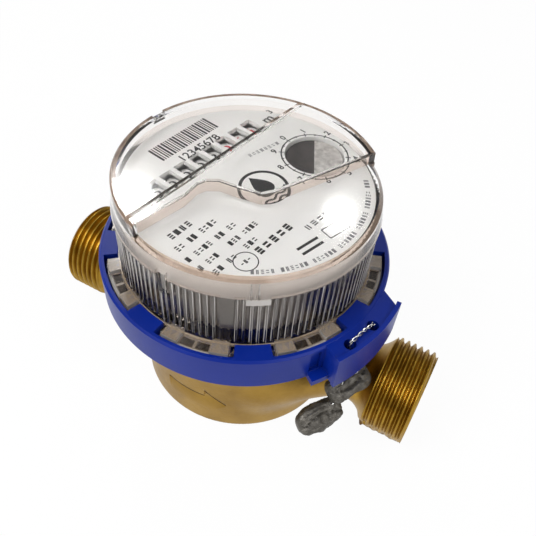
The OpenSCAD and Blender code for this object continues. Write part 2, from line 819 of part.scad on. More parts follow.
module clamp_ring() {
    pocket = 31;
    color("#1c37b0") difference() {
        union() {
            ring_blank();
            seal_block();
        }
        for (i = [0 : lug_n - 1]) {
            a = lug_a + i * 360 / lug_n;
            sector(cap_root_r, lug_r + 0.5, a - pocket / 2, a + pocket / 2, body_top + 0.1, ring_top + 2);
        }
        sector(ring_r - latch_depth, ring_r + 1, block_a0 - 6, block_a0 - 1.6,
               ring_z + ledge_h + gap, ring_top - 1.4);
        for (a = [hole_a, hole_b])
            rotate([0, 0, a]) translate([hole_at_r, 0, ring_z - 1]) cylinder(r = hole_r, h = ring_h + 4);
    }
}

// Sealing wire and lead seals

function at_turn(r, a, z) = [r * cos(a), r * sin(a), z];
wire_lift = 0.15;
wire_top = ring_top + wire_r + wire_lift;
wire_low = ring_z - 1;
front_out = front_seal_at + [1.5, 2.8, 2.2];
rear_foot = front_seal_at + [2, 4, 4.2];
rear_in = rear_seal_at + [-0.9, -2.6, -0.4];
rear_back = rear_seal_at + [1, 2.6, 4.8];
rear_out = rear_seal_at + [0.4, 0.8, 0.4];
wire_route = [front_seal_at, front_out, rear_foot, rear_in,
              at_turn(hole_at_r, hole_a, wire_low),
              at_turn(hole_at_r, hole_a, wire_top),
              at_turn(hole_at_r, hole_b, wire_top),
              at_turn(hole_at_r, hole_b, wire_low),
              rear_back, rear_out];

module seal_wire() {
    color("#c9ccce") wire(wire_route, wire_r);
}

// Crimped lead slug, long along its own X
module lead_slug(at, turn, lean) {
    translate(at) rotate([0, 0, turn]) rotate([lean, 0, 0]) intersection() {
        translate([0, 0, -seal_t / 2]) linear_extrude(seal_t) {
            square([seal_l - seal_w, seal_w], center = true);
            for (s = [-1, 1]) translate([s * (seal_l - seal_w) / 2, 0]) circle(d = seal_w);
        }
        rotate([0, 90, 0]) cylinder(r = seal_w / 2 - 0.2, h = seal_l + 2, center = true);
    }
}

// Hole for the wire, a little wider than the wire and a little past each of its points
module wire_hole(points) {
    for (i = [0 : len(points) - 2]) {
        run = (points[i + 1] - points[i]) / norm(points[i + 1] - points[i]) * gap;
        rod(points[i] - run, points[i + 1] + run, wire_r + wire_fit - (i % 2) * wire_ease);
    }
}

module front_lead_seal() {
    color("#55524c") difference() {
        lead_slug(front_seal_at, front_seal_turn, front_seal_lean);
        wire_hole(wire_route);
    }
}

module rear_lead_seal() {
    color("#55524c") difference() {
        lead_slug(rear_seal_at, rear_seal_turn, rear_seal_lean);
        wire_hole(wire_route);
    }
}

meter_body();
inlet_strainer();
lower_pivot_pin();
impeller();
lower_bush();
upper_bush();
impeller_magnet();
upper_pivot_pin();
pressure_plate();
plate_seal_ring();
plate_keeper();
magnetic_shield();
register_housing();
follower_magnet();
follower_pinion();
first_wheel();
second_wheel();
gear_bridge();
indicator_arbor();
indicator_disc();
idler_wheel();
worm_arbor();
drum_shaft();
transfer_shaft();
number_drum_1();
number_drum_2();
number_drum_3();
number_drum_4();
number_drum_5();
number_drum_6();
number_drum_7();
number_drum_8();
transfer_pinion_1();
transfer_pinion_2();
transfer_pinion_3();
transfer_pinion_4();
transfer_pinion_5();
transfer_pinion_6();
transfer_pinion_7();
dial_plate();
clear_cap();
clamp_ring();
seal_wire();
front_lead_seal();
rear_lead_seal();
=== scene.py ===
import math

import bmesh
import bpy
import numpy as np
from mathutils import Matrix, Vector, noise


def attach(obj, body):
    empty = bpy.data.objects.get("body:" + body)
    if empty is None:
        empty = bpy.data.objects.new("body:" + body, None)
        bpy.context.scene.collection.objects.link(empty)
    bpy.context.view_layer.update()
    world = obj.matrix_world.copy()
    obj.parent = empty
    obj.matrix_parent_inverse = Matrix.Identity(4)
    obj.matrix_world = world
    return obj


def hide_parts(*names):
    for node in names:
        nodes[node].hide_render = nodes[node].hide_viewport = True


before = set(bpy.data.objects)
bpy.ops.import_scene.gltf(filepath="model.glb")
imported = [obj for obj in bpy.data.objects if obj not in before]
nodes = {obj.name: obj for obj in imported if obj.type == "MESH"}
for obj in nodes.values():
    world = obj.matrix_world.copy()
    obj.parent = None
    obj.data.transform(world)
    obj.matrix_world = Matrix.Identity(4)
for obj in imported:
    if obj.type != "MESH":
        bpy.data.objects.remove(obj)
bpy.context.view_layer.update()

# Driving dimensions of the part, in millimetres
MM = 0.001
AXIS_H = 14.8
END_X = 55.0
THREAD_X = 43.4
THREAD_R = 13.22
THREAD_PITCH = 1.814
THREAD_DEPTH = 1.16
NECK_R = 8.4
PORT_R = 6.2
BORE_R = 9.0
BORE_X = 41.0
CUP_R = 28.0
JET_R = 8.2
JET_IN = (15.5, -14.47)
JET_OUT_X = 33.0
RING_TOP = 45.4
RIB_TIP_R = 31.8
CAP_IN_R = 29.7
DIAL_TOP = 64.4
DRUM_R = 5.0
DRUM_Z = 57.8
ROW_U = 0.85
ROW_V = 13.8
DRUM_PITCH = 4.75
DISC_AT = (19.2, -5.0)
DISC_R = 7.2
TURN = math.radians(79.7)


def dial(u, v, z):
    """Point of the dial's own frame in the part's frame."""
    return (u * math.cos(TURN) - v * math.sin(TURN), u * math.sin(TURN) + v * math.cos(TURN), z)


def at_turn(r, a, z):
    """Point at radius r and a degrees around the meter's axis."""
    return (r * math.cos(math.radians(a)), r * math.sin(math.radians(a)), z)


# Materials


def lin(c):
    """Linear colour from 0-255 screen values."""
    return tuple((x / 255 / 12.92) if x <= 10 else ((x / 255 + 0.055) / 1.055) ** 2.4 for x in c)


class Mat:
    """A Principled material whose colour, roughness and normal vary with procedural noise."""

    def __init__(self, name, color, rough=0.4, metal=0.0, vary=0.06, spread=60.0, grain=1500.0,
                 bump=0.2, depth=0.00003, rough_vary=0.08, other=None):
        self.mat = bpy.data.materials.new(name)
        self.mat.use_nodes = True
        self.tree = self.mat.node_tree
        self.bsdf = self.tree.nodes["Principled BSDF"]
        self.coord = self.tree.nodes.new("ShaderNodeTexCoord")
        base = lin(color)
        second = lin(other) if other else tuple(min(1.0, c * (1 + vary)) for c in base)
        first = base if other else tuple(c * (1 - vary) for c in base)
        cloud = self.noise(spread, 4.0)
        self.color = self.ramp(cloud.outputs["Fac"], [(0.3, first), (0.7, second)])
        self.link(self.color.outputs["Color"], self.bsdf.inputs["Base Color"])
        fine = self.noise(grain, 3.0)
        span = self.tree.nodes.new("ShaderNodeMapRange")
        span.inputs["To Min"].default_value = max(0.02, rough - rough_vary)
        span.inputs["To Max"].default_value = min(1.0, rough + rough_vary)
        self.link(fine.outputs["Fac"], span.inputs["Value"])
        self.link(span.outputs["Result"], self.bsdf.inputs["Roughness"])
        dent = self.tree.nodes.new("ShaderNodeBump")
        dent.inputs["Strength"].default_value = bump
        dent.inputs["Distance"].default_value = depth
        self.link(fine.outputs["Fac"], dent.inputs["Height"])
        self.link(dent.outputs["Normal"], self.bsdf.inputs["Normal"])
        self.bsdf.inputs["Metallic"].default_value = metal

    def link(self, a, b):
        self.tree.links.new(a, b)

    def noise(self, scale, detail):
        n = self.tree.nodes.new("ShaderNodeTexNoise")
        n.inputs["Scale"].default_value = scale
        n.inputs["Detail"].default_value = detail
        self.link(self.coord.outputs["Object"], n.inputs["Vector"])
        return n

    def ramp(self, value, stops):
        r = self.tree.nodes.new("ShaderNodeValToRGB")
        for e, (pos, col) in zip(r.color_ramp.elements, stops):
            e.position, e.color = pos, (*col, 1)
        self.link(value, r.inputs["Fac"])
        return r

    def stain(self, color, low, high, strength):
        """Tints the lowest part in patches, fading between two heights in metres."""
        split = self.tree.nodes.new("ShaderNodeSeparateXYZ")
        self.link(self.coord.outputs["Object"], split.inputs[0])
        fade = self.tree.nodes.new("ShaderNodeMapRange")
        for key, value in (("From Min", low), ("From Max", high), ("To Min", strength), ("To Max", 0.0)):
            fade.inputs[key].default_value = value
        self.link(split.outputs["Z"], fade.inputs["Value"])
        patch = self.tree.nodes.new("ShaderNodeMath")
        patch.operation = "MULTIPLY"
        patch.use_clamp = True
        self.link(fade.outputs["Result"], patch.inputs[0])
        self.link(self.noise(320, 4.0).outputs["Fac"], patch.inputs[1])
        mix = self.tree.nodes.new("ShaderNodeMixRGB")
        mix.inputs["Color2"].default_value = (*lin(color), 1)
        self.link(patch.outputs[0], mix.inputs["Fac"])
        self.link(self.color.outputs["Color"], mix.inputs["Color1"])
        self.link(mix.outputs["Color"], self.bsdf.inputs["Base Color"])

    def clear(self, share, ior=1.5, coat=0.0):
        """Lets light through, tinted by the base colour."""
        self.bsdf.inputs["Transmission Weight"].default_value = share
        self.bsdf.inputs["IOR"].default_value = ior
        self.bsdf.inputs["Coat Weight"].default_value = coat
        self.bsdf.inputs["Coat Roughness"].default_value = 0.12


cast_brass = Mat("cast_brass", (146, 114, 52), rough=0.42, metal=1.0, other=(170, 136, 66), spread=120,
                 grain=1300, bump=0.6, depth=0.0001)
turned_brass, low_darkened_brass = (
    Mat(name, (146, 112, 36), rough=0.38, metal=1.0, other=(178, 142, 56), spread=260, grain=3200, bump=0.15)
    for name in ("turned_brass", "low_darkened_brass"))
# Darker brown in patches towards the bottom of the outlet end
low_darkened_brass.stain((84, 52, 30), low=0.0030, high=0.0110, strength=3.4)
blue_plastic = Mat("blue_plastic", (2, 34, 128), rough=0.36, vary=0.08, spread=70, grain=2400, bump=0.06)
blue_plastic.bsdf.inputs["Specular IOR Level"].default_value = 0.2
dark_blue_plastic = Mat("dark_blue_plastic", (8, 28, 104), rough=0.45, vary=0.08, spread=80, grain=2000, bump=0.08)
white_plastic = Mat("white_plastic", (240, 240, 238), rough=0.5, vary=0.02, spread=120, grain=2500, bump=0.05)
drum_white = Mat("drum_white", (224, 224, 222), rough=0.5, vary=0.03, spread=200, grain=2500, bump=0.05)
black_plastic = Mat("black_plastic", (14, 12, 12), rough=0.4, other=(58, 48, 46), spread=900, grain=2500, bump=0.1)
silver_foil = Mat("silver_foil", (168, 164, 160), rough=0.36, metal=0.4, other=(226, 224, 220), spread=700, grain=900,
                  bump=0.5, depth=0.0001)
natural_plastic = Mat("natural_plastic", (226, 222, 208), rough=0.45, vary=0.03, spread=120, grain=2000, bump=0.08)
grey_plastic = Mat("grey_plastic", (168, 170, 172), rough=0.5, vary=0.04, spread=120, grain=2000, bump=0.1)
gear_plastic = Mat("gear_plastic", (226, 206, 158), rough=0.42, vary=0.04, spread=140, grain=2200, bump=0.06)
steel = Mat("steel", (188, 188, 188), rough=0.25, metal=1.0, vary=0.05, spread=300, grain=2600, bump=0.08)
jewel = Mat("jewel", (128, 38, 48), rough=0.12, vary=0.15, spread=500, grain=2600, bump=0.03)
magnet = Mat("magnet", (48, 48, 50), rough=0.55, vary=0.15, spread=500, grain=2200, bump=0.15)
rubber = Mat("rubber", (26, 26, 26), rough=0.7, vary=0.2, spread=300, grain=1800, bump=0.2)
lead = Mat("lead", (62, 59, 54), rough=0.46, metal=0.5, other=(108, 104, 97), spread=520, grain=1500, bump=0.6,
           depth=0.00015)
wire_steel = Mat("wire_steel", (206, 206, 204), rough=0.2, metal=1.0, vary=0.08, spread=500, grain=3000, bump=0.1)
ink_black = Mat("ink_black", (16, 16, 18), rough=0.6, vary=0.2, spread=800, grain=3000, bump=0.05)
ink_red = Mat("ink_red", (190, 44, 56), rough=0.6, vary=0.12, spread=800, grain=3000, bump=0.05)
ink_grey = Mat("ink_grey", (112, 112, 114), rough=0.6, vary=0.15, spread=800, grain=3000, bump=0.05)
clear_plastic = Mat("clear_plastic", (254, 253, 252), rough=0.04, vary=0.01, spread=60, grain=700, bump=0.02,
                    depth=0.00002, rough_vary=0.02)
clear_plastic.clear(1.0, 1.18, 0.35)
clear_plastic.bsdf.inputs["Sheen Weight"].default_value = 0.35
clear_plastic.bsdf.inputs["Sheen Roughness"].default_value = 0.25
clear_plastic.bsdf.inputs["Sheen Tint"].default_value = (*lin((196, 164, 142)), 1)
rim_plastic = Mat("rim_plastic", (240, 228, 220), rough=0.06, vary=0.02, spread=60, grain=700, bump=0.02)
rim_plastic.clear(0.94, 1.25, 0.3)
brown_plastic = Mat("brown_plastic", (196, 170, 150), rough=0.1, vary=0.08, spread=300, grain=900, bump=0.05)
brown_plastic.clear(0.7, 1.3, 0.4)
edge_plastic = Mat("edge_plastic", (150, 126, 110), rough=0.2, other=(186, 166, 150), spread=220, grain=900,
                   bump=0.05)
edge_plastic.clear(0.4, 1.03)
# Pale clear plastic that paints highlights on the cap's rib tips and on its lugs' walls and edges
highlight_painted_plastic = Mat("highlight_painted_plastic", (240, 236, 232), rough=0.15, vary=0.03, spread=200, grain=900, bump=0.05)
highlight_painted_plastic.clear(0.6)
# Smoky clear plastic that paints dark refraction shade on the rib flanks and shade in the lugs' low middles
shade_painted_plastic = Mat("shade_painted_plastic", (120, 112, 106), rough=0.08, vary=0.1, spread=200, grain=900, bump=0.05)
shade_painted_plastic.clear(1.0)
tan_plastic = Mat("tan_plastic", (226, 208, 186), rough=0.2, other=(204, 184, 160), spread=160, grain=900, bump=0.1)
tan_plastic.clear(0.7)
# Dark brass that paints the shadow along the upper edges of the flow arrow's recess
painted_shadow_brass = Mat("painted_shadow_brass", (74, 54, 22), rough=0.5, metal=1.0, vary=0.2, spread=400, grain=1600, bump=0.2)

NODE_MATS = {
    "plate_keeper": cast_brass, "inlet_strainer": natural_plastic, "impeller": natural_plastic,
    "pressure_plate": grey_plastic, "gear_bridge": grey_plastic, "follower_pinion": natural_plastic,
    "indicator_arbor": natural_plastic, "worm_arbor": natural_plastic, "first_wheel": gear_plastic,
    "second_wheel": gear_plastic, "idler_wheel": gear_plastic, "lower_pivot_pin": steel, "upper_pivot_pin": steel,
    "drum_shaft": steel, "transfer_shaft": steel, "magnetic_shield": steel, "lower_bush": jewel,
    "upper_bush": jewel, "impeller_magnet": magnet, "follower_magnet": magnet, "plate_seal_ring": rubber,
    "register_housing": dark_blue_plastic, "clamp_ring": blue_plastic, "clear_cap": clear_plastic,
    "dial_plate": white_plastic, "indicator_disc": black_plastic, "meter_body": cast_brass,
    "seal_wire": wire_steel, "front_lead_seal": lead, "rear_lead_seal": lead,
}
for k in range(1, 9):
    NODE_MATS[f"number_drum_{k}"] = drum_white
for k in range(1, 8):
    NODE_MATS[f"transfer_pinion_{k}"] = natural_plastic


def dress(mesh, *mats):
    """Gives a mesh these materials, in this order."""
    mesh.materials.clear()
    for mat in mats:
        mesh.materials.append(mat.mat)


for name, obj in nodes.items():
    dress(obj.data, NODE_MATS[name])
    obj.data.shade_smooth()
    obj.data.set_sharp_from_angle(angle=math.radians(30))


# Mesh helpers


def piece(name, verts, faces, mat, body="meter", smooth=None):
    """A mesh from points in millimetres; smooth is the angle in degrees above which an edge stays sharp."""
    mesh = bpy.data.meshes.new(name)
    mesh.from_pydata([tuple(MM * c for c in v) for v in verts], [], faces)
    mesh.update()
    obj = bpy.data.objects.new(name, mesh)
    bpy.context.scene.collection.objects.link(obj)
    dress(mesh, mat)
    if smooth is not None:
        mesh.shade_smooth()
        mesh.set_sharp_from_angle(angle=math.radians(smooth))
    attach(obj, body)
    return obj


def copy_node(node, name, mats, change=None, smooth=30):
    """A copy of a CAD node of the fixed body that stands for it, after change() has worked on its mesh.

    Edges beside a level face stay sharp, so that the level faces aren't shaded as curved.
    """
    mesh = nodes[node].data.copy()
    mesh.name = name
    obj = bpy.data.objects.new(name, mesh)
    bpy.context.scene.collection.objects.link(obj)
    dress(mesh, *mats)
    bm = bmesh.new()
    bm.from_mesh(mesh)
    bmesh.ops.remove_doubles(bm, verts=bm.verts, dist=0.000002)
    if change:
        change(bm)
    bm.normal_update()
    for f in bm.faces:
        f.smooth = True
    for e in bm.edges:
        if len(e.link_faces) == 2:
            flat = any(abs(f.normal.z) > 0.9999 for f in e.link_faces)
            e.smooth = math.degrees(e.calc_face_angle()) < (1 if flat else smooth)
    bm.to_mesh(mesh)
    bm.free()
    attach(obj, "meter")
    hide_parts(node)
    return obj


def grid_faces(rows, cols):
    """Faces of a tube of rows by cols points, closed around."""
    return [(i * cols + j, (i + 1) * cols + j, (i + 1) * cols + (j + 1) % cols, i * cols + (j + 1) % cols)
            for i in range(rows - 1) for j in range(cols)]


def ring_band(name, r0, r1, z0, z1, mat, cols=180):
    """A closed ring with a plain section."""
    verts = []
    for r, z in ((r0, z0), (r1, z0), (r1, z1), (r0, z1), (r0, z0)):
        verts += [at_turn(r, 360 * j / cols, z) for j in range(cols)]
    faces = [tuple(i % (4 * cols) for i in f[::-1]) for f in grid_faces(5, cols)]
    return piece(name, verts[:4 * cols], faces, mat, smooth=30)


# Cast cup with blended necks and jet bosses

CUP_EDGE = 0.8
NECK_BLEND, CUP_BLEND = 1.6, 4.5
# Flow arrow: height of its axis, ends of the shaft and head along X, half widths, depth and width of its edge
ARROW_Z = 10.2
SHAFT_X, HEAD_X, TIP_X = -7.1, 4.5, 10.2
SHAFT_W, HEAD_W = 2.7, 5.2
ARROW_DEPTH, ARROW_EDGE = 0.75, 0.18
ARROW = np.array([(SHAFT_X, -SHAFT_W), (HEAD_X, -SHAFT_W), (HEAD_X, -HEAD_W), (TIP_X, 0), (HEAD_X, HEAD_W),
                  (HEAD_X, SHAFT_W), (SHAFT_X, SHAFT_W)])


def blend(a, b, k):
    """Union of two fields with a fillet about k wide."""
    h = np.clip(0.5 + 0.5 * (b - a) / k, 0, 1)
    return b * (1 - h) + a * h - k * h * (1 - h)


def in_arrow(x, z):
    """Signed distance to the arrow's outline, negative inside."""
    best = np.full(x.shape, 1e9)
    inside = np.zeros(x.shape, bool)
    for (ax, az), (bx, bz) in zip(ARROW, np.roll(ARROW, -1, 0)):
        ex, ez = bx - ax, bz - az
        t = np.clip(((x - ax) * ex + (z - az) * ez) / (ex * ex + ez * ez), 0, 1)
        best = np.minimum(best, np.hypot(x - ax - t * ex, z - az - t * ez))
        if ez:
            cross = ((az > z) != (bz > z)) & (x < ax + (z - az) * ex / ez)
            inside ^= cross
    return np.where(inside, -best, best)


def from_jet(x, y, z):
    """Distance to the axis of the nearer jet channel."""
    ax, ay = JET_IN
    dx, dy = JET_OUT_X - ax, -ay
    t = np.clip(((np.abs(x) - ax) * dx + (y - ay) * dy) / (dx * dx + dy * dy), 0, 1)
    return np.sqrt((np.abs(x) - ax - t * dx) ** 2 + (y - ay - t * dy) ** 2 + (z - AXIS_H) ** 2)


def cup_field(p):
    """Distance to the outside of the cup with its necks and bosses, negative in the metal.

    The flow arrow is sunk into the front and fades out downwards.
    """
    x, y, z = p[..., 0], p[..., 1], p[..., 2]
    qr, qz = np.hypot(x, y) - (CUP_R - CUP_EDGE), CUP_EDGE - z
    cup = np.minimum(np.maximum(qr, qz), 0) + np.hypot(np.maximum(qr, 0), np.maximum(qz, 0)) - CUP_EDGE
    near = (y < -20) & (np.abs(x) < 13) & (z > 3) & (z < 18)
    d = in_arrow(x[near], z[near] - ARROW_Z)
    fade = np.clip((z[near] - ARROW_Z + 3.4) / 5.0, 0, 1)
    cup[near] += ARROW_DEPTH * fade ** 2 * np.clip(0.5 - d / ARROW_EDGE, 0, 1)
    pipe = np.hypot(y, z - AXIS_H) - NECK_R
    return blend(cup, blend(pipe, from_jet(x, y, z) - JET_R, NECK_BLEND), CUP_BLEND)


def surface(field, lo, hi, step):
    """Quads of the zero surface of a field, with their corners drawn onto it."""
    axes = [np.arange(a, b + step / 2, step) for a, b in zip(lo, hi)]
    grid = np.stack(np.meshgrid(*axes, indexing="ij"), -1)
    value = field(grid)
    inside = value < 0
    total = np.zeros(tuple(n - 1 for n in value.shape) + (3,))
    count = np.zeros(total.shape[:3])
    crossings = []
    for axis in range(3):
        a = [slice(None)] * 3
        b = [slice(None)] * 3
        a[axis], b[axis] = slice(None, -1), slice(1, None)
        a, b = tuple(a), tuple(b)
        change = inside[a] != inside[b]
        with np.errstate(divide="ignore", invalid="ignore"):
            t = np.where(change, value[a] / (value[a] - value[b]), 0)
        where = grid[a] + t[..., None] * (grid[b] - grid[a])
        others = [i for i in range(3) if i != axis]
        for s in (0, 1):
            for r in (0, 1):
                pick = [slice(None)] * 3
                pick[others[0]] = slice(s, s + total.shape[others[0]])
                pick[others[1]] = slice(r, r + total.shape[others[1]])
                c = change[tuple(pick)]
                total += where[tuple(pick)] * c[..., None]
                count += c
        crossings.append((axis, others, change, inside[a]))
    cells = count > 0
    index = np.full(count.shape, -1)
    index[cells] = np.arange(cells.sum())
    verts = total[cells] / count[cells][:, None]
    for _ in range(3):
        v = field(verts)
        g = np.stack([(field(verts + e) - field(verts - e)) / 0.02 for e in np.eye(3) * 0.01], -1)
        verts -= np.clip(v / np.maximum((g * g).sum(-1), 0.05), -0.3, 0.3)[:, None] * g
    faces = []
    for axis, (p, q), change, first in crossings:
        for i in np.argwhere(change):
            if i[p] == 0 or i[q] == 0 or i[p] >= count.shape[p] or i[q] >= count.shape[q]:
                continue
            quad = []
            for s, r in ((1, 1), (0, 1), (0, 0), (1, 0)):
                c = i.copy()
                c[p] -= s
                c[q] -= r
                quad.append(int(index[tuple(c)]))
            flip = bool(first[tuple(i)]) == (axis == 1)
            faces.append(tuple(quad[::-1] if flip else quad))
    return verts, faces


verts, faces = surface(cup_field, (-39.0, -31.0, -0.9), (39.0, 31.0, 37.8), 0.45)
cup = piece("brass_cup", verts, faces, cast_brass, smooth=55)
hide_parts("meter_body")


def arrow_edge(name, a, b, w):
    """A painted shadow line along an upper edge of the arrow's recess on the cup's wall."""
    verts = []
    for t in np.linspace(0, 1, 13):
        x, z = a[0] + (b[0] - a[0]) * t, ARROW_Z + a[1] + (b[1] - a[1]) * t
        for dz in (-w / 2, w / 2):
            verts.append((x, -math.sqrt((CUP_R + 0.04) ** 2 - x * x), z + dz))
    faces = [(2 * i, 2 * i + 2, 2 * i + 3, 2 * i + 1) for i in range(12)]
    return piece(name, verts, faces, painted_shadow_brass, smooth=60)


# Painted shadow lines under the upper edges of the arrow's shaft and head
arrow_edge("arrow_shaft_shadow", (SHAFT_X, SHAFT_W), (HEAD_X, SHAFT_W), 0.34)
arrow_edge("arrow_head_shadow", (HEAD_X, HEAD_W), (TIP_X, 0.2), 0.42)

# Limits of the faces of the body that the cast shell and the pipe ends stand for
SHELL_R, SHELL_TOP, SHELL_FLOOR = 26.2, 37, 2
PIPE_X, PIPE_R = 39.2, 6.4
JET_WALL = 1.5


def keep_inside(bm):
    """Leaves the water ways and the seat, which lie within the cast shell."""
    gone = []
    for f in bm.faces:
        c = f.calc_center_median() * 1000
        rho, off = math.hypot(c.x, c.y), math.hypot(c.y, c.z - AXIS_H)
        far = max(abs(v.co.x) for v in f.verts) * 1000
        wide = max(math.hypot(v.co.y * 1000, v.co.z * 1000 - AXIS_H) for v in f.verts)
        port = far < BORE_X + 0.05 and wide < PORT_R + 0.05
        shell = off > PIPE_R and from_jet(c.x, c.y, c.z) > JET_R - JET_WALL
        if far > PIPE_X and not port or rho > SHELL_R and (shell or c.z > SHELL_TOP) or c.z < SHELL_FLOOR:
            gone.append(f)
    bmesh.ops.delete(bm, geom=gone, context="FACES")


copy_node("meter_body", "brass_inside", [cast_brass], keep_inside, 35)


# Threaded pipe ends


def thread_height(p):
    """Rounded 55 degree thread form, 0 in the root and 1 on the crest."""
    tri = 1 - abs((p % 1.0) * 2 - 1)
    t = min(1.0, max(0.0, (tri - 0.12) / 0.7))
    return t * t * (3 - 2 * t) * 0.35 + t * 0.65


# Where the grime lies around the pipe, how far it spreads and how far it reaches from the thread's inner end
GRIME_AT, GRIME_SPREAD = math.radians(219), 0.42
GRIME_REACH = 2.6
# Lengths of the thread's run-in and of the chamfer on its first turn
RUN_IN, CHAMFER = 0.7, 0.9


def pipe_end(name, side, mat, wear):
    """Flared collar, thread and bore of one end; wear, 0 to 1, fills a low strip of the thread with grime."""
    cols, rows, turns = 168, 24, 118
    x0, flare0, top = 36.6, 37.4, THREAD_X - 0.25
    # Rows of points as x and radius, with no radius where the thread gives it
    prof = []
    for i in range(rows + 1):
        x = x0 + (top - x0) * i / rows
        t = max(0.0, (x - flare0) / (top - flare0))
        prof.append((x, NECK_R + 0.05 + (THREAD_R - 0.95 - NECK_R) * t ** 2.3))
    prof.append((THREAD_X - 0.02, THREAD_R - 0.7))
    prof += [(THREAD_X + (END_X - THREAD_X) * i / turns, None) for i in range(turns + 1)]
    outside = len(prof)
    prof += [(END_X, 11.2), (END_X, 9.5), (END_X - 0.4, BORE_R), (BORE_X + 2, BORE_R), (BORE_X, BORE_R),
             (BORE_X, PORT_R - 0.02)]
    verts = []
    for k, (x, plain) in enumerate(prof):
        for j in range(cols):
            th = 2 * math.pi * j / cols
            r = plain
            if plain is None:
                h = thread_height(x / THREAD_PITCH - side * th / (2 * math.pi))
                ease = min(1.0, (x - THREAD_X) / RUN_IN)
                r = THREAD_R - THREAD_DEPTH * (1 - h) * ease - (1 - ease) * 0.35
                r = min(r, THREAD_R - max(0.0, x - (END_X - CHAMFER)) * 0.95)
            if k < outside:
                grime = wear * math.exp(-((th - GRIME_AT) / GRIME_SPREAD) ** 2)
                lump = noise.noise(Vector((x * 0.7, math.cos(th) * 7, math.sin(th) * 7)))
                if plain is None:
                    r += grime * (THREAD_R - 0.55 + 0.6 * lump - r)
                near = max(0.0, 1 - abs(x - THREAD_X) / GRIME_REACH)
                r = min(THREAD_R, r + grime * near * 1.6 * (lump - 0.2))
            verts.append((side * x, r * math.cos(th), AXIS_H + r * math.sin(th)))
    faces = grid_faces(len(prof), cols)
    if side > 0:
        faces = [f[::-1] for f in faces]
    return piece(name, verts, faces, mat, smooth=50)


pipe_end("outlet_end", 1, low_darkened_brass, 1.0)
pipe_end("inlet_end", -1, turned_brass, 0.0)


# Clamp ring with softened edges

ring = copy_node("clamp_ring", "blue_ring", [blue_plastic])
edge = ring.modifiers.new("edges", "BEVEL")
edge.width = 0.00022
edge.segments = 2
edge.limit_method = "ANGLE"
edge.angle_limit = math.radians(40)


# Clear cap with round ribs and tan locking lugs

# Heights of the ribs' upper end, the shoulder, the low and high top edges and the step between them
RIBS_TOP = 60.5
SHOULDER = (60.4, 65.3)
LOW_EDGE = (65.0, 66.4)
HIGH_EDGE = 68.6
STEP_FOOT = 64.8
RIB_FOOT_R = 30.9
CAP_MATS = [clear_plastic, tan_plastic, shade_painted_plastic, rim_plastic, highlight_painted_plastic, brown_plastic]
TAN, PAINTED_SHADE, RIM, PAINTED_HIGHLIGHT, BROWN = range(1, 6)


def round_ribs(bm):
    """Rounds the tips of the ribs and sorts the cap's faces by material, with painted highlights on the rib tips and
    the lugs' walls and painted dark refraction shade on the rib flanks.
    """
    tips = [e for e in bm.edges
            if abs(e.verts[0].co.z - e.verts[1].co.z) > 0.005
            and all(abs(math.hypot(v.co.x, v.co.y) * 1000 - RIB_TIP_R) < 0.03 for v in e.verts)]
    bmesh.ops.bevel(bm, geom=tips, offset=0.0002, offset_type="OFFSET", segments=4, profile=0.5, affect="EDGES",
                    clamp_overlap=False)
    for f in bm.faces:
        c = f.calc_center_median() * 1000
        rho = math.hypot(c.x, c.y)
        wide = max((v.co.xy - w.co.xy).length for v in f.verts for w in f.verts) > 0.0012
        steep = abs(f.normal.z) < 0.95
        low, high = (pick(v.co.z for v in f.verts) * 1000 for pick in (min, max))
        outer, ribbed = rho > CAP_IN_R, RING_TOP + 0.1 < c.z < RIBS_TOP
        on_shoulder = low > SHOULDER[0] and high < SHOULDER[1]
        on_edge = low > HIGH_EDGE or low > LOW_EDGE[0] and high < LOW_EDGE[1]
        # Steep lug walls and rib tips get a painted highlight, rib flanks painted shade
        if c.z < RING_TOP - 0.15 and rho > RIB_TIP_R + 0.1:
            f.material_index = PAINTED_HIGHLIGHT if steep else TAN
        elif ribbed and rho > RIB_FOOT_R and not wide:
            f.material_index = PAINTED_HIGHLIGHT if 0.015 < RIB_TIP_R - rho < 0.22 else PAINTED_SHADE
        elif ribbed and rho > RIB_TIP_R - 0.1:
            f.material_index = PAINTED_HIGHLIGHT
        elif steep and outer and on_edge:
            f.material_index = BROWN
        elif steep and (on_shoulder and outer or low > STEP_FOOT and rho < CAP_IN_R):
            f.material_index = RIM


copy_node("clear_cap", "ribbed_cap", CAP_MATS, round_ribs)

LUGS, FIRST_LUG = 8, -79.5
LUG_Z = RING_TOP - 1.36


def lug_marks(name, r0, r1, spans, mat):
    """Flat sectors on the low middle of each locking lug, for its painted shade and painted highlight."""
    verts, faces = [], []
    for lug in range(LUGS):
        for a0, a1 in spans:
            n = len(verts)
            for t in np.linspace(a0, a1, 6):
                verts += [at_turn(r, FIRST_LUG + 360 / LUGS * lug + t, LUG_Z) for r in (r0, r1)]
            faces += [(n + 2 * i, n + 2 * i + 1, n + 2 * i + 3, n + 2 * i + 2) for i in range(5)]
    return piece(name, verts, faces, mat)


# Radius and height of the four corners of the rim's tinted strip
RIM_SECTION = ((29.85, 69.15), (30.75, 69.15), (31.1, 68.78), (31.1, 67.9))


def rim_edge(name, spans):
    """Brownish tint under the high edge of the cap, on both sides of the keyway."""
    verts, faces = [], []
    for a0, a1 in spans:
        n, steps = len(verts), int((a1 - a0) / 2)
        for t in np.linspace(a0, a1, steps + 1):
            verts += [at_turn(r, t, z) for r, z in RIM_SECTION]
        faces += [(n + 4 * i + j, n + 4 * i + j + 1, n + 4 * i + j + 5, n + 4 * i + j + 4)
                  for i in range(steps) for j in range(3)]
    return piece(name, verts, faces, edge_plastic, smooth=30)


rim_edge("cap_rim_tint", ((44.2, 164.8), (172.2, 250.0)))
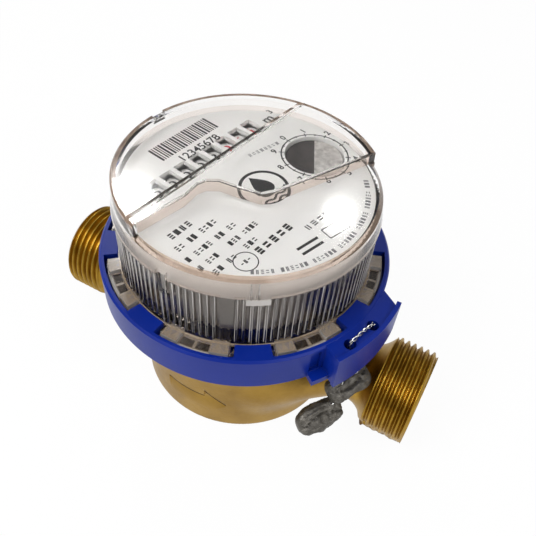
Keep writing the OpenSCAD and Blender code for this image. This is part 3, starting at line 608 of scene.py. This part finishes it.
# Painted shade on the low middle of each lug and a painted highlight along its outer edge
lug_marks("lug_painted_shade", 32.4, 34.3, ((-5.7, -0.6), (0.6, 5.7)), shade_painted_plastic)
lug_marks("lug_painted_highlight", 34.6, 35.1, ((-6.2, 6.2),), highlight_painted_plastic)
ring_band("cap_foot_edge", RIB_TIP_R + 0.06, RIB_TIP_R + 0.42, RING_TOP - 0.9, RING_TOP - 0.25, tan_plastic)
ring_band("dial_edge", CAP_IN_R - 0.35, CAP_IN_R - 0.03, DIAL_TOP - 1.2, DIAL_TOP - 0.04, white_plastic)


# Printed dial


def glyph(text, size, weight):
    """Outline of plain figures, as flat mesh data in millimetres around their own centre."""
    curve = bpy.data.curves.new("glyph", "FONT")
    curve.body = text
    curve.size = size
    curve.offset = weight
    curve.resolution_u = 4
    obj = bpy.data.objects.new("glyph", curve)
    bpy.context.scene.collection.objects.link(obj)
    bpy.context.view_layer.update()
    mesh = bpy.data.meshes.new_from_object(obj.evaluated_get(bpy.context.evaluated_depsgraph_get()))
    co = np.array([v.co[:2] for v in mesh.vertices], float)
    faces = [tuple(p.vertices) for p in mesh.polygons]
    bpy.data.objects.remove(obj)
    bpy.data.curves.remove(curve)
    bpy.data.meshes.remove(mesh)
    co -= (co.max(0) + co.min(0)) / 2
    return co, faces


# Bars of the plain blocks that stand in lines of small print, in a cell 1 wide and 1 high
MARKS = {
    "a": [((0.2, 0.1), (0.2, 0.9)), ((0.5, 0.1), (0.5, 0.9)), ((0.8, 0.1), (0.8, 0.9))],
    "b": [((0.1, 0.2), (0.9, 0.2)), ((0.1, 0.5), (0.9, 0.5)), ((0.1, 0.8), (0.9, 0.8))],
    "d": [((0.1, 0.3), (0.9, 0.3)), ((0.1, 0.7), (0.9, 0.7))],
    "e": [((0.3, 0.1), (0.3, 0.9)), ((0.7, 0.1), (0.7, 0.9))],
    "s": [((0.1, 0.5), (0.9, 0.5))],
    " ": [],
}


class Print:
    """Flat shapes on the dial, gathered into one piece."""

    def __init__(self, z):
        self.z, self.verts, self.faces = z, [], []

    def add(self, points, faces):
        n = len(self.verts)
        self.verts += [dial(u, v, self.z) for u, v in points]
        self.faces += [tuple(n + i for i in f) for f in faces]

    def poly(self, points):
        self.add(points, [tuple(range(len(points)))])

    def bar(self, a, b, w):
        a, b = np.array(a, float), np.array(b, float)
        d = (b - a) / np.linalg.norm(b - a)
        n = np.array([-d[1], d[0]]) * w / 2
        self.poly([a - n, b - n, b + n, a + n])

    def ring(self, c, r0, r1, steps=72):
        pts = []
        for i in range(steps + 1):
            a = math.radians(360.0 * i / steps)
            pts += [(c[0] + r * math.cos(a), c[1] + r * math.sin(a)) for r in (r0, r1)]
        self.add(pts, [(2 * i, 2 * i + 1, 2 * i + 3, 2 * i + 2) for i in range(steps)])

    def figure(self, text, size, at, weight):
        co, faces = glyph(text, size, weight)
        self.add([(at[0] + x, at[1] + y) for x, y in co], faces)

    def line(self, a, b, h, marks, weight=0.17):
        """A line of plain marks from a to b, h high."""
        a, b = np.array(a, float), np.array(b, float)
        along = (b - a) / len(marks)
        up = np.array([-along[1], along[0]]) / np.linalg.norm(along) * h
        for i, m in enumerate(marks):
            o = a + along * (i + 0.12) - up / 2
            for (x0, y0), (x1, y1) in MARKS[m]:
                self.bar(o + along * 0.76 * x0 + up * y0, o + along * 0.76 * x1 + up * y1, weight * h)

    def make(self, name, mat):
        return piece(name, self.verts, self.faces, mat)


ink = Print(DIAL_TOP + 0.015)
centre = np.array(DISC_AT)
ink.ring(DISC_AT, 8.15, 8.5)
for i in range(20):
    a = math.radians(90 - 18 * i)
    d = np.array([math.cos(a), math.sin(a)])
    ink.bar(centre + d * (7.85 if i % 2 else 7.65), centre + d * (8.6 if i % 2 else 8.95), 0.3)
for i in range(10):
    a = math.radians(90 - 36 * i)
    ink.figure(str(i), 2.4, centre + np.array([math.cos(a), math.sin(a)]) * 10.1, weight=0.06)
ink.figure("m", 4.4, (22.9, 12.7), weight=0.08)
ink.figure("3", 2.7, (25.9, 15.0), weight=0.06)
# Stripes in a repeated pattern and a plain running number
at = -8.0
for i in range(25):
    w = (0.62, 0.3, 0.42, 0.3, 0.62)[i % 5]
    ink.bar((at + w / 2, 20.0), (at + w / 2, 25.5), w)
    at += w + (0.3, 0.42, 0.3)[i % 3]
ink.figure("12345678", 3.4, (2.0, 17.55), weight=0.05)
# Lines of small print as plain blocks
ink.line((-25.4, 0.5), (-18.6, 0.6), 2.2, "baeb", 0.19)
ink.line((-26.9, -3.1), (-14.6, -2.9), 2.1, "bd ea bded")
ink.line((-27.6, -6.8), (-12.4, -6.7), 1.9, "a bdab ea bd")
ink.line((-27.4, -10.2), (-9.0, -9.9), 1.8, "e bda   abe deab")
ink.line((-26.2, -13.2), (-12.6, -13.0), 1.8, "ba ed  bad")
ink.line((-16.2, -15.9), (-4.4, -15.9), 2.5, "bdbdb", 0.24)
ink.ring((-19.4, -15.8), 2.5, 2.75)
ink.line((-20.9, -15.8), (-17.9, -15.8), 1.4, "ses", 0.2)
ink.line((-3.6, -19.2), (4.8, -19.6), 1.9, "ebda")
ink.bar((-9.6, -21.6), (-3.6, -22.6), 0.7)
ink.bar((-9.9, -23.3), (-3.9, -24.3), 0.7)
for a, b in (((-1.9, -24.9), (3.9, -25.9)), ((-1.3, -21.9), (4.4, -22.9)), ((-1.9, -24.9), (-1.3, -21.9)),
             ((3.9, -25.9), (4.4, -22.9))):
    ink.bar(a, b, 0.3)
# Round mark with a plain drop over two waves
MARK_U, MARK_V = 1.2, -3.6
ink.ring((MARK_U, MARK_V), 5.2, 6.0)
ink.poly([(MARK_U + 3.4 * math.sin(a) * math.sin(a / 2) ** 1.4, -2.4 + 3.6 * math.cos(a))
          for a in np.linspace(0, 2 * math.pi, 40)[:-1]])
for dv, reach in ((-6.2, 4.0), (-7.5, 3.5)):
    pts = [(MARK_U + u, MARK_V + dv + 3.0 + 0.35 * math.sin(u * 1.8)) for u in np.linspace(-reach, reach, 25)]
    for p, q in zip(pts, pts[1:]):
        ink.bar(p, q, 0.6)
ink.make("dial_print", ink_black)

grey = Print(DIAL_TOP + 0.02)
grey.line((7.4, 6.6), (17.0, 4.6), 1.5, "edbaebda", 0.14)
grey.line((-22.6, 15.6), (-16.4, 22.6), 1.5, "baedbaeb", 0.14)
for i in range(44):
    a = 222 + i * 2.15
    if i % 7 == 5:
        continue
    p = np.array([math.cos(math.radians(a)), math.sin(math.radians(a))])
    s = np.array([-p[1], p[0]])
    grey.line(p * 27.9 - s * 0.5, p * 27.9 + s * 0.5, 1.5, "aebdea"[i % 6], 0.16)
grey.make("dial_print_grey", ink_grey)


# Silver and black halves of the indicator

for name, turn, mat in (("indicator_foil", 36 - 180, silver_foil), ("indicator_dark", 36, black_plastic)):
    half = []
    for i in range(49):
        a = math.radians(turn + 180 * i / 48)
        r = DISC_R - 0.1
        half.append(dial(DISC_AT[0] + r * math.cos(a), DISC_AT[1] + r * math.sin(a), DIAL_TOP - 0.86))
    piece(name, half, [tuple(range(49))], mat, body="indicator")


# Figures on the number drums

SHOWN = (0, 0, 0, 0, 2, 0, 7, 3)
# Small enough to leave a gap between figures 36 degrees apart, and widened to fill the window
FIGURE_SIZE, STRETCH = 3.3, 1.2
figures = {d: glyph(str(d), FIGURE_SIZE, 0.1) for d in range(10)}
for k in range(1, 9):
    verts, faces = [], []
    u0 = ROW_U + (k - 4.5) * DRUM_PITCH - 0.1
    for d in range(10):
        co, fs = figures[d]
        mid = math.radians(-36 * (d - SHOWN[k - 1]))
        n = len(verts)
        for x, y in co:
            phi = mid + y / DRUM_R
            r = DRUM_R + 0.02
            verts.append(dial(u0 + x * STRETCH, ROW_V + r * math.sin(phi), DRUM_Z + r * math.cos(phi)))
        faces += [tuple(n + i for i in f) for f in fs]
    piece(f"figures_{k}", verts, faces, ink_black if k <= 5 else ink_red, body=f"number_drum_{k}")


# Sealing wire and lead seals


def smooth_path(points, step):
    """Points about a step apart on a smooth curve through the given ones."""
    pts = [np.array(p, float) for p in points]
    pts = [2 * pts[0] - pts[1]] + pts + [2 * pts[-1] - pts[-2]]
    out = []
    for p0, p1, p2, p3 in zip(pts, pts[1:], pts[2:], pts[3:]):
        n = max(2, int(np.linalg.norm(p2 - p1) / step))
        for t in np.arange(n) / n:
            out.append(0.5 * (2 * p1 + (p2 - p0) * t + (2 * p0 - 5 * p1 + 4 * p2 - p3) * t ** 2
                              + (3 * p1 - p0 - 3 * p2 + p3) * t ** 3))
    out.append(pts[-2])
    return np.array(out)


def frames_along(path):
    """Two directions square to the path at each point, turning as little as they can."""
    tang = np.gradient(path, axis=0)
    tang /= np.linalg.norm(tang, axis=1)[:, None]
    n = np.cross(tang[0], [0.3, 0.2, 1.0])
    out = []
    for t in tang:
        n = n - t * (n @ t)
        n /= np.linalg.norm(n)
        out.append((n, np.cross(t, n)))
    return out


WIRE_R, WIRE_OFFSET, WIRE_PITCH = 0.2, 0.32, 3.4


def twisted(path, phase, sides=8):
    """One strand of the wire, wound around the path a little unevenly."""
    verts = []
    run = np.concatenate([[0], np.cumsum(np.linalg.norm(np.diff(path, axis=0), axis=1))])
    for p, (n, b), s in zip(path, frames_along(path), run):
        a = 2 * math.pi * s / WIRE_PITCH + phase + 0.5 * math.sin(s * 0.9)
        c = p + WIRE_OFFSET * (math.cos(a) * n + math.sin(a) * b)
        for q in np.arange(sides) * 2 * math.pi / sides:
            verts.append(tuple(c + WIRE_R * (math.cos(q) * n + math.sin(q) * b)))
    faces = grid_faces(len(path), sides)
    return verts, faces + [tuple(range(sides)), tuple(reversed(range(len(verts) - sides, len(verts))))]


FRONT_SEAL = np.array([34.5, -21.2, 20.0])
REAR_SEAL = np.array([37.6, -12.8, 26.6])
HOLE_A, HOLE_B, HOLE_R = -23.2, -11.5, 39.3
WIRE_LOW, WIRE_TOP = 34.3, 45.97
ROUTE = [FRONT_SEAL, FRONT_SEAL + [1.5, 2.8, 2.2], FRONT_SEAL + [2, 4, 4.2], REAR_SEAL + [-0.9, -2.6, -0.4],
         at_turn(HOLE_R, HOLE_A, WIRE_LOW), at_turn(HOLE_R, HOLE_A, WIRE_TOP - 0.8),
         at_turn(HOLE_R, HOLE_A + 0.9, WIRE_TOP), at_turn(HOLE_R - 0.3, (HOLE_A + HOLE_B) / 2, WIRE_TOP + 0.1),
         at_turn(HOLE_R, HOLE_B - 0.9, WIRE_TOP), at_turn(HOLE_R, HOLE_B, WIRE_TOP - 0.8),
         at_turn(HOLE_R, HOLE_B, WIRE_LOW), REAR_SEAL + [1, 2.6, 4.8], REAR_SEAL + [0.4, 0.8, 0.4]]
path = smooth_path(ROUTE, 0.16)
verts, faces = twisted(path, 0.0)
more, other = twisted(path, math.pi)
faces += [tuple(len(verts) + i for i in f) for f in other]
wire = piece("twisted_wire", verts + more, faces, wire_steel, smooth=60)
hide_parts("seal_wire")


def slug(name, at, turn, lean, seed, node):
    """Lead slug squeezed flat, with scored faces, a folded seam and ragged ends."""
    rows, cols = 72, 84
    spin = Matrix.Rotation(math.radians(turn), 3, "Z") @ Matrix.Rotation(math.radians(lean), 3, "X")
    verts = []
    for i in range(rows + 1):
        s = -1 + 2 * i / rows
        x = 6.35 * math.copysign(abs(math.sin(s * math.pi / 2)) ** 0.9, s)
        env = max(0.0, 1 - abs(x / 6.45) ** 5) ** 0.4
        for j in range(cols):
            a = 2 * math.pi * j / cols
            c, sn = math.cos(a), math.sin(a)
            y = (3.2 + 0.25 * math.sin(x * 0.55 + seed)) * math.copysign(abs(c) ** 0.7, c) * env
            z = (2.25 + 0.2 * math.cos(x * 0.7 + seed)) * math.copysign(abs(sn) ** 0.5, sn) * env
            p = Vector((x, y, z))
            d = 0.3 * noise.noise(p * 0.5 + Vector((seed, 0, 0)))
            d += 0.32 * noise.noise(Vector((x * 0.22 + seed, y * 1.5, z * 1.5)))
            d += 0.12 * noise.noise(p * 2.2 + Vector((0, seed, 0)))
            seam = y - 0.9 * math.sin(x * 0.45 + seed)
            if sn > 0:
                d -= 0.55 * math.exp(-(seam / 0.28) ** 2)
            verts.append(tuple(np.array(at) + np.array(spin @ (p + Vector((0.25 * d, c * d, sn * d)) * env))))
    faces = grid_faces(rows + 1, cols)
    faces += [tuple(range(cols)), tuple(reversed(range(rows * cols, (rows + 1) * cols)))]
    obj = piece(name, verts, faces, lead, smooth=40)
    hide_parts(node)
    return obj


slug("front_slug", FRONT_SEAL, 60, 40, 1.7, "front_lead_seal")
slug("rear_slug", REAR_SEAL, 66, 35, 5.2, "rear_lead_seal")


# Floor, light and camera

floor_mesh = bpy.data.meshes.new("floor")
floor_mesh.from_pydata([(-4, -4, 0), (4, -4, 0), (4, 4, 0), (-4, 4, 0)], [], [(0, 1, 2, 3)])
floor = bpy.data.objects.new("floor", floor_mesh)
bpy.context.scene.collection.objects.link(floor)
white = bpy.data.materials.new("floor_white")
white.use_nodes = True
tree = white.node_tree
tree.nodes.clear()
out = tree.nodes.new("ShaderNodeOutputMaterial")
diffuse = tree.nodes.new("ShaderNodeBsdfDiffuse")
diffuse.inputs["Color"].default_value = (0.86, 0.86, 0.86, 1)
glow = tree.nodes.new("ShaderNodeEmission")
glow.inputs["Color"].default_value = (1, 1, 1, 1)
mix = tree.nodes.new("ShaderNodeMixShader")
rays = tree.nodes.new("ShaderNodeLightPath")
most = tree.nodes.new("ShaderNodeMath")
most.operation = "MAXIMUM"
third = tree.nodes.new("ShaderNodeMath")
third.operation = "MAXIMUM"
share = tree.nodes.new("ShaderNodeMath")
share.operation = "MULTIPLY"
share.inputs[1].default_value = 0.95
tree.links.new(rays.outputs["Is Camera Ray"], most.inputs[0])
tree.links.new(rays.outputs["Is Glossy Ray"], most.inputs[1])
tree.links.new(most.outputs[0], third.inputs[0])
tree.links.new(rays.outputs["Is Transmission Ray"], third.inputs[1])
tree.links.new(third.outputs[0], share.inputs[0])
tree.links.new(share.outputs[0], mix.inputs["Fac"])
tree.links.new(diffuse.outputs[0], mix.inputs[1])
tree.links.new(glow.outputs[0], mix.inputs[2])
tree.links.new(mix.outputs[0], out.inputs["Surface"])
floor_mesh.materials.append(white)

world = bpy.data.worlds.new("studio")
bpy.context.scene.world = world
world.use_nodes = True
wt = world.node_tree
wt.nodes.clear()
w_out = wt.nodes.new("ShaderNodeOutputWorld")
soft = wt.nodes.new("ShaderNodeBackground")
soft.inputs["Strength"].default_value = 0.5
sky = wt.nodes.new("ShaderNodeTexCoord")
split = wt.nodes.new("ShaderNodeSeparateXYZ")
grade = wt.nodes.new("ShaderNodeValToRGB")
grade.color_ramp.elements[0].position, grade.color_ramp.elements[0].color = 0.0, (0.5, 0.48, 0.46, 1)
grade.color_ramp.elements[1].position, grade.color_ramp.elements[1].color = 0.9, (0.9, 0.9, 0.9, 1)
wt.links.new(sky.outputs["Generated"], split.inputs[0])
wt.links.new(split.outputs["Z"], grade.inputs["Fac"])
wt.links.new(grade.outputs["Color"], soft.inputs["Color"])
wt.links.new(soft.outputs[0], w_out.inputs["Surface"])


def lamp(name, at, target, size, power):
    """A round soft lamp; its place and target are in millimetres, its size in metres."""
    data = bpy.data.lights.new(name, "AREA")
    data.shape = "DISK"
    data.size = size
    data.energy = power
    obj = bpy.data.objects.new(name, data)
    obj.location = Vector(at) * MM
    obj.rotation_euler = (Vector(target) - Vector(at)).to_track_quat("-Z", "Y").to_euler()
    bpy.context.scene.collection.objects.link(obj)


lamp("key", (-260, -420, 620), (0, 0, 30), 0.45, 4.2)
lamp("fill", (520, -160, 420), (0, 0, 30), 0.5, 1.6)
lamp("glare_left", (-326, 306, 463), (-16, -23, 69), 0.06, 0.45)
lamp("glare_right", (-107, 428, 466), (23, 0, 66), 0.04, 0.15)

# Turn, rise and roll of the camera, which stands where the photograph was taken from
a, e, r = math.radians(25.44), math.radians(47.74), math.radians(4.9)
back = Vector((math.sin(a) * math.cos(e), -math.cos(a) * math.cos(e), math.sin(e)))
right = Vector((math.cos(a), math.sin(a), 0))
up = back.cross(right)
right2 = right * math.cos(r) + up * math.sin(r)
up2 = up * math.cos(r) - right * math.sin(r)
cam = bpy.data.cameras.new("camera")
cam.lens = 40.25
cam.sensor_width = 36
cam.sensor_fit = "HORIZONTAL"
cam.clip_start = 0.01
cam_obj = bpy.data.objects.new("camera", cam)
m = Matrix((right2, up2, back)).transposed().to_4x4()
m.translation = Vector((52.1, -95.2, 155.1)) * MM
cam_obj.matrix_world = m
bpy.context.scene.collection.objects.link(cam_obj)
bpy.context.scene.camera = cam_obj

bpy.context.scene.view_settings.view_transform = "Standard"
